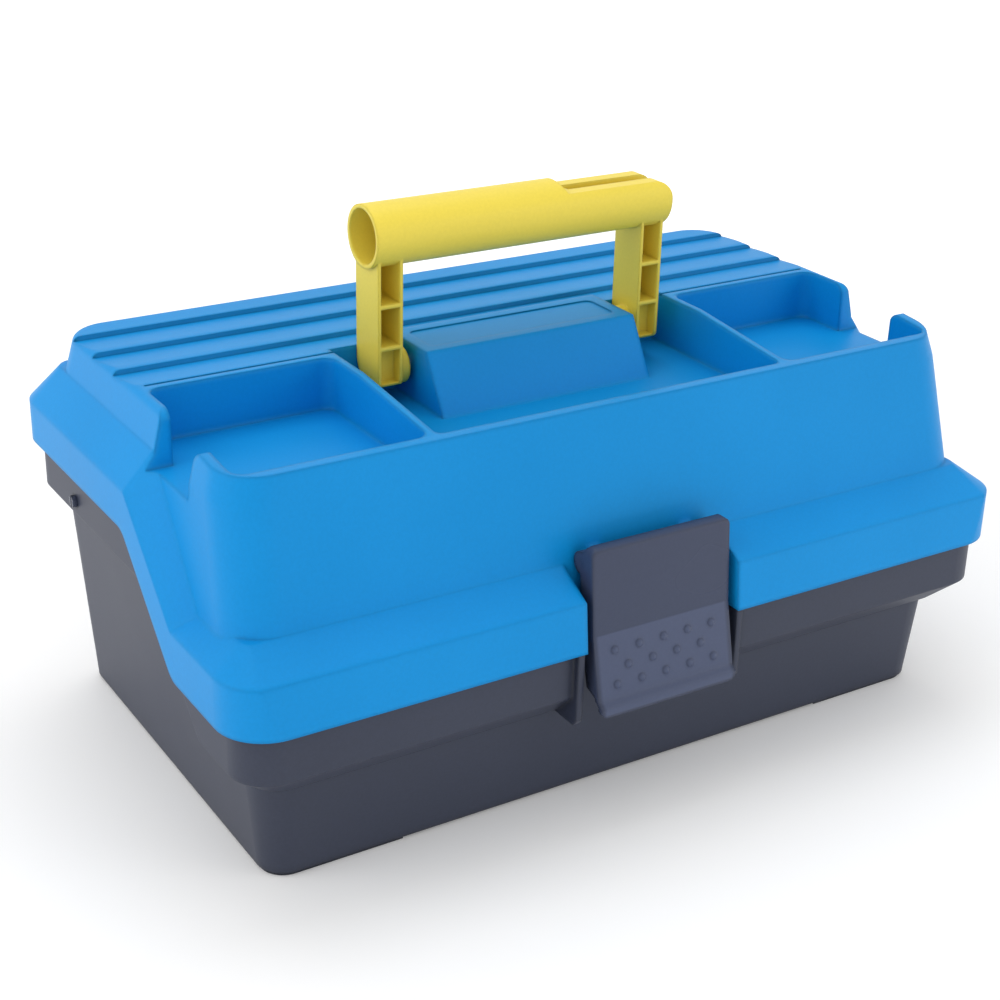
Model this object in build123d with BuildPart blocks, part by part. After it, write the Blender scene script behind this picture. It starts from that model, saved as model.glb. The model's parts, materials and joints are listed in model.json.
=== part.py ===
from build123d import *
from math import atan2, degrees, hypot, radians, tan
import os

# Three-tray tackle box: a drafted base tub, a hinged lid with three open
# compartments on top, a folding carrying handle, a front latch, and three
# trays that rise and fan out on two pairs of parallel arms as the lid opens.
# +X is right, +Y is the rear, +Z is up. The origin is on the floor, under
# the middle of the box.

os.makedirs("parts", exist_ok=True)

# Base tub
WALL = 2.5
TOP_WALL = 3.4
FOOT_HEIGHT = 1.5
FOOT_INSET = 1.0
FOOT_LENGTH = 51.0
FOOT_DEPTH = 38.0
TUB_HALF_LENGTH = 146.5
TUB_FRONT = -80.0
TUB_REAR = 90.0
TUB_CORNER = 10.0
END_DRAFT = 5.4
FRONT_DRAFT = 5.4
REAR_DRAFT = 1.2

# Rim band round the top of the tub
RIM_HALF_LENGTH = 161.0
RIM_FRONT = -96.0
RIM_REAR = 95.0
RIM_CORNER = 14.0
RIM_BAND = 18.7
RIM_CHAMFER = 9.0
RIM_LIP = 4.0
RIM_REAR_START = -40.0
FLARE_DEPTH = 30.0
FLARE_EDGE = 8.0
FLARE_BITE = 4.0

# Line where the lid meets the base, seen from the end
SPLIT_REAR_Z = 107.3
SPLIT_FRONT_Z = 67.7
SPLIT_STEP_Y = -7.0
SPLIT_TOP_ROUND = 9.0

# Lid
LID_HALF_LENGTH = 165.0
LID_FRONT = -100.0
LID_REAR = 99.0
LID_CORNER = 18.0
SKIRT_FRONT_HEIGHT = 18.8
SKIRT_REAR_HEIGHT = 15.5
SHOULDER_RISE = 13.5
SHOULDER_IN = 11.0
SHOULDER_REAR_IN = 14.0
BAND_RISE = 8.3
BAND_IN = 15.5
SLANT_SHIFT = 15.0
SLANT_CREASE = 134.0
FRONT_LEAN = 2.0
CROWN_HALF_LENGTH = 150.5
CROWN_FRONT = -68.0
CROWN_REAR = 84.0
CROWN_CORNER = 16.0
CROWN_TOP_Z = 150.0
CROWN_WAIST_Z = 136.0
CROWN_WAIST_HALF_LENGTH = 154.0
CROWN_WAIST_FRONT = -71.6
CROWN_WAIST_REAR = 85.5
CROWN_FOOT_Z = 60.0
CROWN_FOOT_HALF_LENGTH = 159.0
CROWN_FOOT_FRONT = -91.5
CROWN_FOOT_REAR = 93.0
TOP_EDGE_ROUND = 3.0
REST_RIB_XS = (60.0, 125.0)
REST_RIB_YS = (25.0, 75.0)
REST_RIB_WIDTH = 2.4
REST_RIB_REACH = 6.0
REST_RIB_HEIGHT = 12.0

# Grooves across the rear of the lid
GROOVE_YS = (70.8, 50.6, 30.3)
GROOVE_DEPTH = 1.8
GROOVE_RUN = 17.0
LAST_GROOVE_Y = 11.6
LAST_GROOVE_DEPTH = 1.0
LAST_GROOVE_WIDTH = 1.2

# Compartments in the top of the lid
POCKET_FLOOR_Z = 130.0
POCKET_FRONT = -64.5
POCKET_REAR = 8.0
POCKET_OUTER_X = 147.5
DIVIDER_X = 75.0
DIVIDER_THICKNESS = 2.6
POCKET_CORNER = 5.0
FRONT_WALL_TOP_Z = 145.2
FRONT_SLOPE_END = -12.0
NOTCH_REAR = -14.0
NOTCH_FRONT = -43.0
NOTCH_LEAN = 0.8
NOTCH_ROUND = 5.0
RECESS_REAR = 15.3

# Raised block that carries the handle
BLOCK_HALF_LENGTH = 46.0
BLOCK_FOOT_Y = -21.0
BLOCK_TOP_Y = -8.0
BLOCK_TOP_Z = 151.5
BLOCK_REAR_Y = 20.0
PANEL_INSET = 5.0
PANEL_DEPTH = 0.5

# Lid hinge
HINGE_Y = 101.0
HINGE_Z = 103.0
HINGE_X = 95.0
KNUCKLE_RADIUS = 4.5
KNUCKLE_GAP = 0.4
LID_KNUCKLE = 20.0
BASE_KNUCKLE = 12.0
HINGE_PIN_RADIUS = 1.6
PIN_CLEARANCE = 0.06

# Handle
HANDLE_Y = 6.5
HANDLE_PIVOT_Z = 143.0
HANDLE_REACH = 50.5
GRIP_RADIUS = 11.6
GRIP_WALL = 1.5
GRIP_HALF_LENGTH = 64.0
GRIP_CUT_X = 15.0
GRIP_CUT_HEIGHT = 7.6
GRIP_BORE_END = 17.0
GRIP_END_ROUND = 6.0
GRIP_SLOT_X = 21.0
GRIP_SLOT_WIDTH = 6.0
GRIP_SLOT_BELOW = 5.0
POST_OUTER_X = 62.3
POST_INNER_X = 52.2
POST_DEPTH = 17.0
POST_BELOW = 5.5
POST_FRONT_ROUND = 3.0
POST_BACK_ROUND = 8.5
POST_WEB = 2.4
POST_SIDE = 1.2
POST_RIB = 1.6
POST_RIB_HEIGHTS = (9.9, 25.8)
POST_FOOT_POCKET = 5.0
BOSS_RADIUS = 7.0
BOSS_INNER_X = 48.2
HANDLE_PIN_RADIUS = 2.6
HANDLE_PIN_DEPTH = 8.0
HANDLE_PIN_END = 1.0

# Latch
NOTCH_HALF_WIDTH = 33.0
LATCH_HALF_WIDTH = 29.6
LATCH_WALL = 2.4
LATCH_PIVOT_Y = -88.0
LATCH_PIVOT_Z = 97.0
LATCH_PIN_RADIUS = 1.5
LATCH_PIN_STOP = 1.2
LATCH_KNUCKLE_RADIUS = 4.2
LATCH_TOP_Z = 103.5
LATCH_FLANGE_Z = 104.3
LATCH_CREASE_Z = 72.0
LATCH_LIP_Z = 48.3
LATCH_NOSE_DROP = 1.6
LATCH_BOTTOM_Z = 43.0
LATCH_TOP_Y = -95.0
LATCH_CREASE_Y = -97.8
LATCH_LIP_Y = -103.2
LATCH_NOSE_Y = -105.5
LATCH_SIDE_DEPTH = 8.0
LATCH_FLANGE = 4.0
LATCH_CORNER = 3.0
LUG_X = 20.0
LUG_WIDTH = 5.0
LUG_RADIUS = 3.6
LUG_ROOT_Y = -81.6
BUMP_RADIUS = 1.6
BUMP_PITCH = 10.6
BUMP_ROW_PITCH = 6.2
BUMP_ROWS = (5, 4, 5)
CATCH_HALF_WIDTH = 15.0
CATCH_Z = 57.5
CATCH_HEIGHT = 4.0
CATCH_GAP = 0.4
HOOK_HEIGHT = 3.0
HOOK_FACE_Y = -94.5
EAR_GAP = 0.5
EAR_THICKNESS = 2.5
EAR_BOTTOM_Z = 38.5
EAR_FRONT = -99.0

# Parallel arms and trays, seen from the end as distance in front of and
# above the lid hinge
ARM_PIVOT_AHEAD = 50.0
ARM_PIVOT_BELOW = 9.0
FIRST_PIN_AHEAD = 34.8
FIRST_PIN_BELOW = 37.0
TRAY_PITCH = 25.0
TRAY_STAGGER = 32.6
TRAY_HEIGHT = 23.0
TRAY_BELOW_PIN = 16.0
TRAY_BEHIND_PIN = 6.0
TRAY_HALF_LENGTH = 140.0
TRAY_FRONTS = (-62.0, -72.0, -69.0)
TRAY_WALL = 1.8
TRAY_CORNER = 3.0
TRAY_NAMES = ("bottom", "middle", "top")
ARM_THICKNESS = 2.2
LID_ARM_GAP = 0.6
FRONT_ARM_GAP = 1.6
ARM_END_RADIUS = 7.0
ARM_NECK_RADIUS = 5.2
TRAY_PIN_RADIUS = 2.2
TRAY_BOSS_RADIUS = 4.0
TRAY_PIN_HEAD = 3.0
TRAY_PIN_HEAD_HEIGHT = 1.0
OPEN_PIVOT_CLEARANCE = 0.15
SHAKE = 0.1
MOUNT_AHEAD = (66.0, 84.0)
MOUNT_ABOVE = 28.0
MOUNT_BOSS_RADIUS = 5.0
SCREW_RADIUS = 1.7
SCREW_HEAD_RADIUS = 3.4
SCREW_HEAD_HEIGHT = 1.6
SCREW_DEPTH = 7.0
STUD_RADIUS = 2.35
STUD_STANDOUT = 1.7
STUD_SLOT = 0.8
STUD_BOSS_RADIUS = 7.0

# Removable dividers in the trays
DIVIDER_PLATE = 1.4
DIVIDER_RIB = 1.2
DIVIDER_RIB_WIDTH = 1.2
DIVIDER_SLOT_CLEARANCE = 0.15
DIVIDER_HEIGHT = 18.0
DIVIDER_STATIONS = 11
DIVIDERS_AT = {"bottom": (2, 5, 8), "middle": (3, 7), "top": (1, 4, 6, 9)}

# Values that follow from the ones above
RIM_TOP_Z = SPLIT_REAR_Z + RIM_LIP
SKIRT_FRONT_Z = SPLIT_FRONT_Z + SKIRT_FRONT_HEIGHT
SKIRT_REAR_Z = SPLIT_REAR_Z + SKIRT_REAR_HEIGHT
SPLIT_LOW_Y = SPLIT_STEP_Y - (SPLIT_REAR_Z - SPLIT_FRONT_Z)
FLARE_WALL_X = TUB_HALF_LENGTH + SPLIT_FRONT_Z * tan(radians(END_DRAFT)) - FLARE_BITE
LID_ARM_IN = TRAY_HALF_LENGTH + LID_ARM_GAP
LID_ARM_OUT = LID_ARM_IN + ARM_THICKNESS
FRONT_ARM_IN = LID_ARM_OUT + FRONT_ARM_GAP
FRONT_ARM_OUT = FRONT_ARM_IN + ARM_THICKNESS
SIDES = {"left": -1, "right": 1}


def ahead(distance, height):
    """A point in the end view, as (y, z), from its place about the lid hinge."""
    return (HINGE_Y - distance, HINGE_Z + height)


LID_PINS = [
    ahead(FIRST_PIN_AHEAD + i * TRAY_STAGGER, -FIRST_PIN_BELOW + i * TRAY_PITCH)
    for i in range(3)
]
ARM_PIVOT = ahead(ARM_PIVOT_AHEAD, -ARM_PIVOT_BELOW)
FRONT_PINS = [(y - ARM_PIVOT_AHEAD, z - ARM_PIVOT_BELOW) for y, z in LID_PINS]
ARM_MOUNTS = [ahead(distance, MOUNT_ABOVE) for distance in MOUNT_AHEAD]


def side_prism(points, x_from, x_to):
    """A solid with the given outline in the end view, from one x to another."""
    with BuildPart() as prism:
        with BuildSketch(Plane.YZ.offset(x_from)):
            with BuildLine():
                Polyline(*points, close=True)
            make_face()
        extrude(amount=x_to - x_from)
    return prism.part


def cross_cylinder(x_from, x_to, y, z, radius):
    """A cylinder that lies along X."""
    with BuildPart() as rod:
        with BuildSketch(Plane.YZ.offset(x_from)):
            with Locations((y, z)):
                Circle(radius)
        extrude(amount=x_to - x_from)
    return rod.part


def tub_solid(inset, bottom_z, top_z):
    """The drafted tub as a solid block, or its hollow when inset."""
    with BuildPart() as tub:
        for z in (bottom_z, top_z):
            end = TUB_HALF_LENGTH + z * tan(radians(END_DRAFT)) - inset
            front = TUB_FRONT - z * tan(radians(FRONT_DRAFT)) + inset
            rear = TUB_REAR + z * tan(radians(REAR_DRAFT)) - inset
            corner = TUB_CORNER + z * tan(radians(END_DRAFT)) - inset
            with BuildSketch(Plane.XY.offset(z)):
                with Locations((0, (front + rear) / 2)):
                    RectangleRounded(2 * end, rear - front, corner)
        loft()
    return tub.part


def band_solid(level_z, inset, top_z):
    """One level of the rim band: a spreading foot and an upright wall."""
    foot_z = level_z - RIM_CHAMFER + inset
    with BuildPart() as band:
        for z, back in ((foot_z, RIM_CHAMFER), (level_z + inset, 0.0)):
            with BuildSketch(Plane.XY.offset(z)):
                with Locations((0, (RIM_FRONT + RIM_REAR) / 2)):
                    RectangleRounded(
                        2 * (RIM_HALF_LENGTH - inset - back),
                        RIM_REAR - RIM_FRONT - 2 * (inset + back),
                        RIM_CORNER - inset - back / 4,
                    )
        loft()
        with BuildSketch(Plane.XY.offset(level_z + inset)):
            with Locations((0, (RIM_FRONT + RIM_REAR) / 2)):
                RectangleRounded(
                    2 * (RIM_HALF_LENGTH - inset),
                    RIM_REAR - RIM_FRONT - 2 * inset,
                    RIM_CORNER - inset,
                )
        extrude(amount=top_z - level_z - inset)
    return band.part


def split_region(raised, above):
    """All the space above, or below, the line where lid and base meet."""
    far = 150.0
    limit_z = 250.0 if above else -50.0
    with BuildPart() as region:
        with BuildSketch(Plane.YZ.offset(-250)):
            with BuildLine():
                FilletPolyline(
                    (far, SPLIT_REAR_Z + raised),
                    (SPLIT_STEP_Y, SPLIT_REAR_Z + raised),
                    (SPLIT_LOW_Y, SPLIT_FRONT_Z + raised),
                    (-far, SPLIT_FRONT_Z + raised),
                    radius=SPLIT_TOP_ROUND,
                )
                Polyline(
                    (-far, SPLIT_FRONT_Z + raised),
                    (-far, limit_z),
                    (far, limit_z),
                    (far, SPLIT_REAR_Z + raised),
                )
            make_face()
        extrude(amount=500)
    return region.part


def y_slab(front, rear):
    """All the space between two planes square to Y."""
    return side_prism([(front, -60), (rear, -60), (rear, 260), (front, 260)], -250, 250)


def behind_front_band(inset):
    """All the space behind the slanting lines where the front band ends in the flares."""
    reach = RIM_HALF_LENGTH - inset
    slope = (FLARE_DEPTH - FLARE_EDGE) * 2**0.5 / (RIM_HALF_LENGTH - FLARE_WALL_X) - 1
    edge_y = SPLIT_LOW_Y - RIM_BAND - RIM_LIP + FLARE_EDGE * 2**0.5
    far = 250.0
    with BuildPart() as region:
        with BuildSketch(Plane.XY.offset(-60)):
            with BuildLine():
                Polyline(
                    (-far, far),
                    (-far, edge_y - slope * (far - reach)),
                    (0, edge_y + slope * reach),
                    (far, edge_y - slope * (far - reach)),
                    (far, far),
                    close=True,
                )
            make_face()
        extrude(amount=320)
    return region.part


def end_flare(side, inset):
    """The flare of the end wall that meets the slanting part of the lid line."""
    run = 34.0
    rise = 12.0
    upper = (SPLIT_STEP_Y + run, SPLIT_REAR_Z + RIM_LIP + run)
    lower = (SPLIT_LOW_Y - run, SPLIT_FRONT_Z + RIM_LIP - run)
    with BuildPart() as flare:
        for x, depth in ((FLARE_WALL_X, FLARE_DEPTH), (RIM_HALF_LENGTH, FLARE_EDGE)):
            drop = (depth - inset / 2) * 2**0.5 / 2
            with BuildSketch(Plane.YZ.offset(side * (x - inset))):
                with BuildLine():
                    Polyline(
                        (upper[0] - rise, upper[1] + rise),
                        (lower[0] - rise, lower[1] + rise),
                        (lower[0] + drop, lower[1] - drop),
                        (upper[0] + drop, upper[1] - drop),
                        close=True,
                    )
                make_face()
        loft()
        add(behind_front_band(inset), mode=Mode.INTERSECT)
    return flare.part


def wide_box(half_width, front, rear, bottom, top):
    """A plain block centred on X."""
    with BuildPart() as block:
        with Locations((0, (front + rear) / 2, (bottom + top) / 2)):
            Box(2 * half_width, rear - front, top - bottom)
    return block.part


def base_body(inset, floor_z):
    """The whole base as a solid block, or its hollow when inset."""
    rear_level = SPLIT_REAR_Z - RIM_BAND
    front_level = SPLIT_FRONT_Z - RIM_BAND
    notch = wide_box(NOTCH_HALF_WIDTH + EAR_GAP + inset, -130, -60, 0, 150)
    with BuildPart() as body:
        add(tub_solid(inset, floor_z, RIM_TOP_Z + 1))
        add(band_solid(rear_level, inset, RIM_TOP_Z + 1) & y_slab(RIM_REAR_START + inset, 200))
        front_band = band_solid(front_level, inset, RIM_TOP_Z + 1) & y_slab(-200, RIM_REAR_START)
        add(front_band - behind_front_band(inset) - notch)
        for side in SIDES.values():
            add(end_flare(side, inset))
    with BuildPart() as trimmed:
        add(body.part)
        with BuildSketch(Plane.XY):
            with Locations((0, (RIM_FRONT + RIM_REAR) / 2)):
                RectangleRounded(
                    2 * (RIM_HALF_LENGTH - inset),
                    RIM_REAR - RIM_FRONT - 2 * inset,
                    RIM_CORNER - inset,
                )
        extrude(amount=200, mode=Mode.INTERSECT)
    return trimmed.part


def feet():
    """Four low corner pads, cut from the foot of the tub."""
    front = TUB_FRONT + FOOT_INSET
    rear = TUB_REAR - FOOT_INSET
    end = TUB_HALF_LENGTH - FOOT_INSET
    with BuildPart() as pads:
        with BuildSketch():
            with Locations((0, (front + rear) / 2)):
                RectangleRounded(2 * end, rear - front, TUB_CORNER - FOOT_INSET)
            with Locations((0, (front + rear) / 2)):
                Rectangle(2 * (end - FOOT_LENGTH), 2 * rear - 2 * front, mode=Mode.SUBTRACT)
                Rectangle(4 * end, rear - front - 2 * FOOT_DEPTH, mode=Mode.SUBTRACT)
        extrude(amount=FOOT_HEIGHT)
    return pads.part


def ear_plates():
    """The plate that hangs below the rim on each side of the latch."""
    with BuildPart() as plates:
        inner = NOTCH_HALF_WIDTH + EAR_GAP
        for side in SIDES.values():
            near = min(side * inner, side * (inner + EAR_THICKNESS))
            add(
                side_prism(
                    [
                        (EAR_FRONT, SPLIT_FRONT_Z),
                        (EAR_FRONT, EAR_BOTTOM_Z + 2.5),
                        (EAR_FRONT + 2, EAR_BOTTOM_Z),
                        (TUB_FRONT - 2, EAR_BOTTOM_Z),
                        (TUB_FRONT - 2, SPLIT_FRONT_Z),
                    ],
                    near,
                    near + EAR_THICKNESS,
                )
            )
    return plates.part


def leaf_and_knuckle(points, length, x_centre):
    """A hinge knuckle with the leaf that joins it to its wall."""
    with BuildPart() as knuckle:
        add(side_prism(points, x_centre - length / 2, x_centre + length / 2))
        add(
            cross_cylinder(
                x_centre - length / 2, x_centre + length / 2, HINGE_Y, HINGE_Z, KNUCKLE_RADIUS
            )
        )
    return knuckle.part


def pin_pair(points, x_near, x_far, radius):
    """Cylinders at each point, the same on the left and the right."""
    with BuildPart() as pair:
        for y, z in points:
            add(cross_cylinder(x_near, x_far, y, z, radius))
            add(cross_cylinder(-x_far, -x_near, y, z, radius))
    return pair.part


def link_plate(runs, radius):
    """A flat link made of round-ended bars, drawn in the end view."""
    with BuildSketch() as plate:
        for (y1, z1), (y2, z2) in runs:
            turn = degrees(atan2(z2 - z1, y2 - y1))
            with Locations(((y1 + y2) / 2, (z1 + z2) / 2)):
                SlotCenterToCenter(hypot(y2 - y1, z2 - z1), 2 * radius, rotation=turn)
    return plate.sketch


def end_outline(rear_z, front_z, slant):
    """Outline of the skirt in the end view, with its top high, slanting, then low."""
    far = 200.0
    return [
        (far, 0.0),
        (far, rear_z),
        (rear_z - slant, rear_z),
        (front_z - slant, front_z),
        (-far, front_z),
        (-far, 0.0),
    ]


def outline_loft(near_x, near_points, far_x, far_points):
    """A solid that runs from one end-view outline to another."""
    with BuildPart() as run:
        for x, points in ((near_x, near_points), (far_x, far_points)):
            with BuildSketch(Plane.YZ.offset(x)):
                with BuildLine():
                    Polyline(*points, close=True)
                make_face()
        loft()
    return run.part


def round_shoulder(inset, edge_z, top_z, front_in, rear_in):
    """The space inside the skirt and under a shoulder that follows it round the corners."""
    half = LID_HALF_LENGTH - inset
    front = LID_FRONT + inset
    rear = LID_REAR - inset
    corner = LID_CORNER - inset
    with BuildPart() as space:
        with BuildSketch():
            with Locations((0, (front + rear) / 2)):
                RectangleRounded(2 * half, rear - front, corner)
        extrude(amount=edge_z)
        with BuildSketch(Plane.XY.offset(edge_z)):
            with Locations((0, (front + rear) / 2)):
                RectangleRounded(2 * half, rear - front, corner)
        with BuildSketch(Plane.XY.offset(top_z)):
            with Locations((0, (front + front_in + rear - rear_in) / 2)):
                RectangleRounded(
                    2 * (half - SHOULDER_IN),
                    rear - rear_in - front - front_in,
                    corner - SHOULDER_IN,
                )
        loft()
    return space.part


def skirt_body(inset):
    """The lid's skirt and shoulder as a solid block, or its hollow when inset."""
    low = inset * 0.55
    skirt = LID_HALF_LENGTH - inset
    shoulder = LID_HALF_LENGTH - SHOULDER_IN - inset
    edge_rear_z = SKIRT_REAR_Z - low
    edge_front_z = SKIRT_FRONT_Z - low
    top_rear_z = SKIRT_REAR_Z + SHOULDER_RISE - low
    top_front_z = SKIRT_FRONT_Z + BAND_RISE - low
    edge = end_outline(edge_rear_z, edge_front_z, SLANT_CREASE - low)
    top = end_outline(top_rear_z, top_front_z, SLANT_CREASE + SLANT_SHIFT - low)
    with BuildPart() as body:
        add(side_prism(top, -shoulder, shoulder))
        for side in SIDES.values():
            add(outline_loft(side * shoulder, top, side * skirt, edge))
        inner_corner = LID_CORNER - SHOULDER_IN
        front_turn = LID_FRONT + max(LID_CORNER, BAND_IN + inner_corner)
        rear_turn = LID_REAR - max(LID_CORNER, SHOULDER_REAR_IN + inner_corner)
        low_end = round_shoulder(inset, edge_front_z, top_front_z, BAND_IN, BAND_IN)
        high_end = round_shoulder(inset, edge_rear_z, top_rear_z, BAND_IN, SHOULDER_REAR_IN)
        add(
            y_slab(front_turn, rear_turn)
            + (low_end & y_slab(-200, front_turn))
            + (high_end & y_slab(rear_turn, 200)),
            mode=Mode.INTERSECT,
        )
        add(
            side_prism(
                [
                    (LID_REAR - inset, 0.0),
                    (LID_REAR - inset, edge_rear_z),
                    (LID_REAR - SHOULDER_REAR_IN - inset, top_rear_z),
                    (LID_REAR - SHOULDER_REAR_IN - inset, 160.0),
                    (LID_FRONT + BAND_IN + FRONT_LEAN + inset, 160.0),
                    (LID_FRONT + BAND_IN + FRONT_LEAN + inset, top_front_z),
                    (LID_FRONT + FRONT_LEAN + inset, edge_front_z),
                    (LID_FRONT + inset, SPLIT_FRONT_Z),
                    (LID_FRONT + inset, 0.0),
                ],
                -250,
                250,
            ),
            mode=Mode.INTERSECT,
        )
    return body.part


def crown_stage(inset, lower, upper):
    """One tapered stage of the crown, between two levels."""
    with BuildPart() as stage:
        for z, half, front, rear in (lower, upper):
            with BuildSketch(Plane.XY.offset(z)):
                with Locations((0, (front + rear) / 2)):
                    RectangleRounded(
                        2 * (half - inset), rear - front - 2 * inset, CROWN_CORNER - inset
                    )
        loft()
    return stage.part


def crown_body(inset, top_z):
    """The raised middle of the lid as a solid block, or its hollow when inset."""
    foot = (CROWN_FOOT_Z, CROWN_FOOT_HALF_LENGTH, CROWN_FOOT_FRONT, CROWN_FOOT_REAR)
    waist = (CROWN_WAIST_Z, CROWN_WAIST_HALF_LENGTH, CROWN_WAIST_FRONT, CROWN_WAIST_REAR)
    top = (CROWN_TOP_Z, CROWN_HALF_LENGTH, CROWN_FRONT, CROWN_REAR)
    with BuildPart() as crown:
        add(crown_stage(inset, foot, waist))
        add(crown_stage(inset, waist, top))
        if inset == 0:
            fillet(crown.edges().group_by(Axis.Z)[-1], TOP_EDGE_ROUND)
        with BuildSketch(Plane.XY.offset(top_z)):
            Rectangle(800, 800)
        extrude(amount=100, mode=Mode.SUBTRACT)
    return crown.part


def front_slope(drop):
    """The space above the falling top edge of the front wall, or the same lowered."""
    return side_prism(
        [
            (-120, FRONT_WALL_TOP_Z - drop),
            (POCKET_FRONT, FRONT_WALL_TOP_Z - drop),
            (FRONT_SLOPE_END, CROWN_TOP_Z - drop),
            (FRONT_SLOPE_END, 170),
            (-120, 170),
        ],
        -250,
        250,
    )


def block_profile(inset):
    """End view of the raised handle block, or of its inside."""
    foot = POCKET_FLOOR_Z - WALL - 1
    lean = (BLOCK_TOP_Y - BLOCK_FOOT_Y) / (BLOCK_TOP_Z - POCKET_FLOOR_Z)
    foot_y = BLOCK_FOOT_Y - lean * (WALL + 1) + inset
    return [
        (foot_y, foot),
        (BLOCK_TOP_Y + inset, BLOCK_TOP_Z),
        (BLOCK_REAR_Y, BLOCK_TOP_Z),
        (BLOCK_REAR_Y, foot),
    ]


def centre_recess(grow, middle):
    """The compartment round the raised block, or the same grown by a wall."""
    floor_z = POCKET_FLOOR_Z - grow
    near = BLOCK_HALF_LENGTH - grow
    with BuildPart() as recess:
        with BuildSketch(Plane.XY.offset(floor_z)):
            with Locations((0, (POCKET_FRONT + POCKET_REAR) / 2)):
                RectangleRounded(2 * middle, POCKET_REAR - POCKET_FRONT + 2 * grow, 3)
            for side in SIDES.values():
                with Locations((side * (near + middle) / 2, (BLOCK_TOP_Y + RECESS_REAR) / 2)):
                    Rectangle(middle - near, RECESS_REAR - BLOCK_TOP_Y + 2 * grow)
        extrude(amount=100)
        add(side_prism(block_profile(grow), -near, near), mode=Mode.SUBTRACT)
    return recess.part


def wall_end_rounding(edge_y, inward, top_z, x_from, x_to):
    """The sharp top corner to take off the end of a compartment's side wall."""
    centre_y = edge_y + inward * NOTCH_ROUND
    with BuildPart() as corner:
        with BuildSketch(Plane.YZ.offset(x_from)):
            with Locations(((edge_y + centre_y) / 2, top_z)):
                Rectangle(NOTCH_ROUND, 2 * NOTCH_ROUND)
            with Locations((centre_y, top_z - NOTCH_ROUND)):
                Circle(NOTCH_ROUND, mode=Mode.SUBTRACT)
        extrude(amount=x_to - x_from)
    return corner.part


def pockets(grow):
    """The open compartments in the lid, or the same grown by a wall."""
    inner = DIVIDER_X + DIVIDER_THICKNESS / 2 - grow
    outer = POCKET_OUTER_X + 2 * grow
    middle = DIVIDER_X - DIVIDER_THICKNESS / 2 + grow
    with BuildPart() as space:
        with BuildSketch(Plane.XY.offset(POCKET_FLOOR_Z - grow)):
            for side in SIDES.values():
                with Locations((side * (inner + outer) / 2, (POCKET_FRONT + POCKET_REAR) / 2)):
                    RectangleRounded(
                        outer - inner, POCKET_REAR - POCKET_FRONT + 2 * grow, POCKET_CORNER
                    )
        extrude(amount=100)
        add(centre_recess(grow, middle))
        for side in SIDES.values():
            near = side * (POCKET_OUTER_X - 6)
            far = side * 200.0
            add(
                side_prism(
                    [
                        (NOTCH_FRONT - grow, POCKET_FLOOR_Z - grow),
                        (NOTCH_REAR + grow, POCKET_FLOOR_Z - grow),
                        (NOTCH_REAR + grow + NOTCH_LEAN, 170.0),
                        (NOTCH_FRONT - grow - NOTCH_LEAN, 170.0),
                    ],
                    min(near, far),
                    max(near, far),
                )
            )
    return space.part


# Base
with BuildPart() as base_hollow:
    add(base_body(WALL, FOOT_HEIGHT + WALL))

with BuildPart() as base:
    add(base_body(0, FOOT_HEIGHT))
    add(split_region(RIM_LIP, False), mode=Mode.INTERSECT)
    add(base_hollow.part, mode=Mode.SUBTRACT)
    add(feet())
    add(ear_plates())
    add(
        wide_box(NOTCH_HALF_WIDTH + WALL + 2 * EAR_GAP, -130, -75, SPLIT_FRONT_Z, 150),
        mode=Mode.SUBTRACT,
    )
    with Locations((0, TUB_FRONT - 8.0, CATCH_Z + CATCH_HEIGHT / 2)):
        Box(2 * CATCH_HALF_WIDTH, 12.0, CATCH_HEIGHT)
    for side in SIDES.values():
        boss_from = side * (FRONT_ARM_OUT + SHAKE)
        boss_to = side * (RIM_HALF_LENGTH - WALL / 2)
        add(
            cross_cylinder(
                min(boss_from, boss_to), max(boss_from, boss_to), *ARM_PIVOT, STUD_BOSS_RADIUS
            )
        )
        for step in (-1, 1):
            centre = side * HINGE_X + step * (LID_KNUCKLE + BASE_KNUCKLE + 2 * KNUCKLE_GAP) / 2
            add(
                leaf_and_knuckle(
                    [
                        (RIM_REAR - 1, 90.0),
                        (RIM_REAR - 1, HINGE_Z + 1.5),
                        (HINGE_Y - 3.8, HINGE_Z + 2.2),
                        (HINGE_Y, HINGE_Z),
                        (HINGE_Y + 3.6, HINGE_Z - 2.6),
                    ],
                    BASE_KNUCKLE,
                    centre,
                )
            )
    for side in SIDES.values():
        span = LID_KNUCKLE / 2 + BASE_KNUCKLE + KNUCKLE_GAP
        add(
            cross_cylinder(
                side * HINGE_X - span, side * HINGE_X + span, HINGE_Y, HINGE_Z, HINGE_PIN_RADIUS
            ),
            mode=Mode.SUBTRACT,
        )
    add(cross_cylinder(-200, 200, *ARM_PIVOT, STUD_RADIUS), mode=Mode.SUBTRACT)
base.part.label = "base"
export_step(base.part, "parts/base.step")

# Lid
with BuildPart() as lid_hollow:
    add(skirt_body(WALL))
    add(wide_box(NOTCH_HALF_WIDTH + WALL, -130, -50, 0, 120), mode=Mode.SUBTRACT)
    add(crown_body(WALL, CROWN_TOP_Z - TOP_WALL))
    add(pockets(WALL), mode=Mode.SUBTRACT)
    add(front_slope(WALL), mode=Mode.SUBTRACT)

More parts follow.
